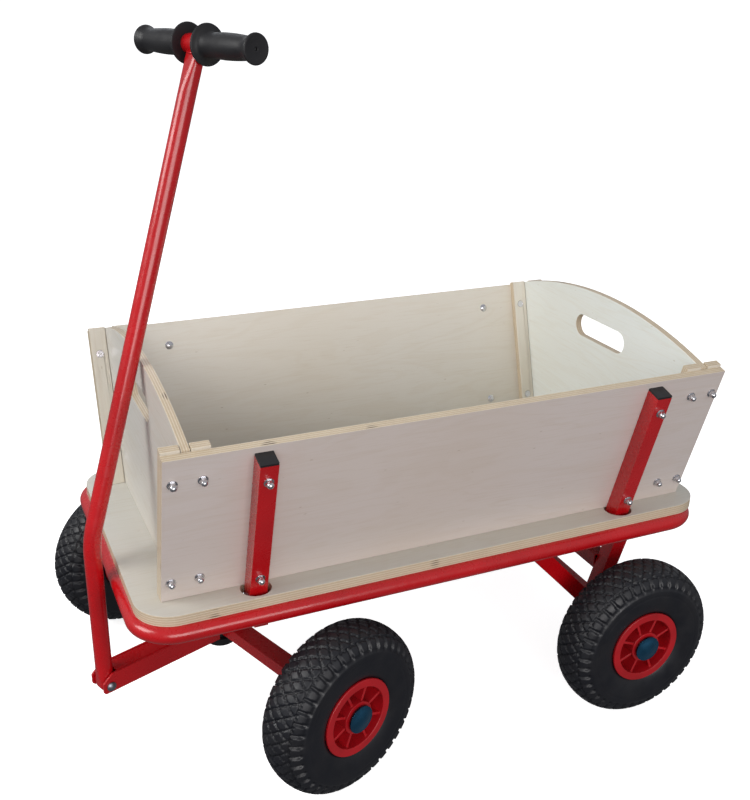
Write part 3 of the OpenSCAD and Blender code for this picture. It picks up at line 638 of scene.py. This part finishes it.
# ---------------------------------------------------------------- CAD nodes: softened edges and materials
looks = {
    "bed_board": PLY_BED, "left_wall_board": PLY_L, "right_wall_board": PLY_R, "left_battens": PLY_LB, "right_battens": PLY_RB,
    "front_panel": PLY_F, "rear_panel": PLY_B,
    "frame_side_rails": RED, "frame_end_rails": RED, "cross_members": RED_DARK, "stake_sockets": RED_DARK, "kingpin_tower": RED,
    "rear_front_struts": RED, "rear_back_struts": RED, "rear_beam": RED, "front_beam": RED, "drawbar": RED, "fork_cheeks": RED,
    "t_bar_tube": RED, "left_stakes": RED, "right_stakes": RED,
    "kingpin": STEEL, "rear_axle_stubs": STEEL, "front_axle_stubs": STEEL, "rear_axle_washers": STEEL, "front_axle_washers": STEEL, "bed_bolts": ZINC,
    "left_wall_bolts": ZINC, "right_wall_bolts": ZINC, "left_wall_washers": ZINC, "right_wall_washers": ZINC, "left_wall_nuts": ZINC, "right_wall_nuts": ZINC,
    "pivot_bolt": DULL, "pivot_nut": DULL, "rear_hub_caps": BLUE, "front_hub_caps": BLUE,
    "thrust_ring": BLACK, "kingpin_cap": BLACK, "left_stake_caps": BLACK, "right_stake_caps": BLACK,
}
for w in ("fl", "fr", "rl", "rr"):
    looks[w + "_rim"] = RIM
    looks[w + "_inner_tube"] = BUTYL
    looks[w + "_bushes"] = BUSH
soft_edge = {
    "bed_board": 1.2, "left_battens": 0.7, "right_battens": 0.7, "front_panel": 0.9, "rear_panel": 0.9,
    "left_stake_caps": 1.0, "right_stake_caps": 1.0, "rear_front_struts": 2.2, "rear_back_struts": 2.2,
    "rear_beam": 2.0, "front_beam": 2.0, "cross_members": 2.0, "kingpin_tower": 0.8, "stake_sockets": 0.6,
    "left_wall_nuts": 0.4, "right_wall_nuts": 0.4, "left_wall_washers": 0.25, "right_wall_washers": 0.25, "pivot_nut": 0.5, "pivot_bolt": 0.4,
    "front_hub_caps": 0.4, "rear_hub_caps": 0.4, "kingpin_cap": 0.8, "bed_bolts": 0.2,
    "fl_rim": 0.9, "fr_rim": 0.9, "rl_rim": 0.9, "rr_rim": 0.9,
}
for name, o in NODES.items():
    if name not in looks:
        continue
    o.data.materials.clear()
    o.data.materials.append(looks[name])
    if name in soft_edge:
        wd = o.modifiers.new("weld", "WELD")
        wd.merge_threshold = 0.00002
        bv = o.modifiers.new("round", "BEVEL")
        bv.width = soft_edge[name] * mm
        bv.segments = 3
        bv.limit_method = "ANGLE"
        bv.angle_limit = math.radians(35)
        bv.use_clamp_overlap = True
        bv.harden_normals = False
        wn = o.modifiers.new("flat_faces", "WEIGHTED_NORMAL")
        wn.mode = "FACE_AREA"
        wn.weight = 100
        wn.keep_sharp = False
        wn.thresh = 0.01

# ---------------------------------------------------------------- floor, light and camera
def stage_plane(name, verts):
    """Nearly white to the camera, with a faint shadow; it throws no light back on the wagon."""
    o = mesh_object(name, verts, [(0, 1, 2, 3)], [], smooth=False)
    k = Mat(name)
    tone = k.mix(k.range(k.noise(k.obj(), 1.2, 2), 0.3, 0.7), (0.86, 0.86, 0.86), (0.89, 0.89, 0.885))
    k.set("Base Color", tone)
    k.set("Roughness", 0.9)
    k.set("Emission Color", (1, 1, 1, 1))
    k.set("Emission Strength", 0.80)
    o.data.materials.append(k.m)
    o.visible_diffuse = False
    o.visible_glossy = False
    o.visible_transmission = False
    o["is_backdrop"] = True
    return o


stage_plane("floor", [(-30, -30, 0), (30, -30, 0), (30, 30, 0), (-30, 30, 0)])
stage_plane("backdrop", [(-29, -29, -1), (29, -29, -1), (29, -29, 40), (-29, -29, 40)]).visible_shadow = False

world = bpy.data.worlds.new("studio")
bpy.context.scene.world = world
world.use_nodes = True
wt = world.node_tree
bg = wt.nodes["Background"]
tc = wt.nodes.new("ShaderNodeTexCoord")
sp = wt.nodes.new("ShaderNodeSeparateXYZ")
wt.links.new(tc.outputs["Generated"], sp.inputs[0])
mr = wt.nodes.new("ShaderNodeMapRange")
wt.links.new(sp.outputs[2], mr.inputs[0])
for i, v in enumerate((-0.35, 0.35, 0.15, 0.46)):
    mr.inputs[1 + i].default_value = v
wt.links.new(mr.outputs[0], bg.inputs[1])
bg.inputs[0].default_value = (0.95, 0.96, 1.0, 1)


def area(name, loc, target, size, power, col=(1, 1, 1)):
    l = bpy.data.lights.new(name, "AREA")
    l.shape = "RECTANGLE"
    l.size, l.size_y = size
    l.energy = power
    l.color = col
    o = bpy.data.objects.new(name, l)
    o.location = loc
    o.rotation_euler = (Vector(target) - Vector(loc)).to_track_quat("-Z", "Y").to_euler()
    o.visible_camera = False
    bpy.context.scene.collection.objects.link(o)
    return o


area("key", (2.9, -0.1, 2.3), (0, 0, 0.35), (1.9, 1.5), 62, (1.0, 0.995, 0.98))
area("back", (-0.6, -3.0, 2.4), (0, 0, 0.3), (2.2, 1.2), 14, (0.90, 0.95, 1.0))
area("front_fill", (0.5, 3.5, 1.25), (0, 0, 0.4), (2.8, 1.6), 64, (1.0, 0.97, 0.96))

bpy.context.scene.view_settings.view_transform = "Standard"
bpy.context.scene.view_settings.look = "None"

cam_data = bpy.data.cameras.new("camera")
cam = bpy.data.objects.new("camera", cam_data)
bpy.context.scene.collection.objects.link(cam)
CX, CY, CZ = rear_x + 0.951756, 1.387959, 1.093317
yaw, pitch, roll, f_px = math.radians(-114.3011), math.radians(-22.0968), math.radians(-1.0453), 1021.41
fwd = Vector((math.cos(pitch) * math.cos(yaw), math.cos(pitch) * math.sin(yaw), math.sin(pitch)))
right = fwd.cross(Vector((0, 0, 1))).normalized()
down = fwd.cross(right)
r = right * math.cos(roll) + down * math.sin(roll)
dn = down * math.cos(roll) - right * math.sin(roll)
rot = Matrix((r, -dn, -fwd)).transposed()
cam.matrix_world = Matrix.Translation((CX, CY, CZ)) @ rot.to_4x4()
cam_data.sensor_width = 36
cam_data.lens = f_px * 36 / 800
cam_data.clip_end = 100
cam_data.shift_x = -1.5 / 800
bpy.context.scene.camera = cam

lo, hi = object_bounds()
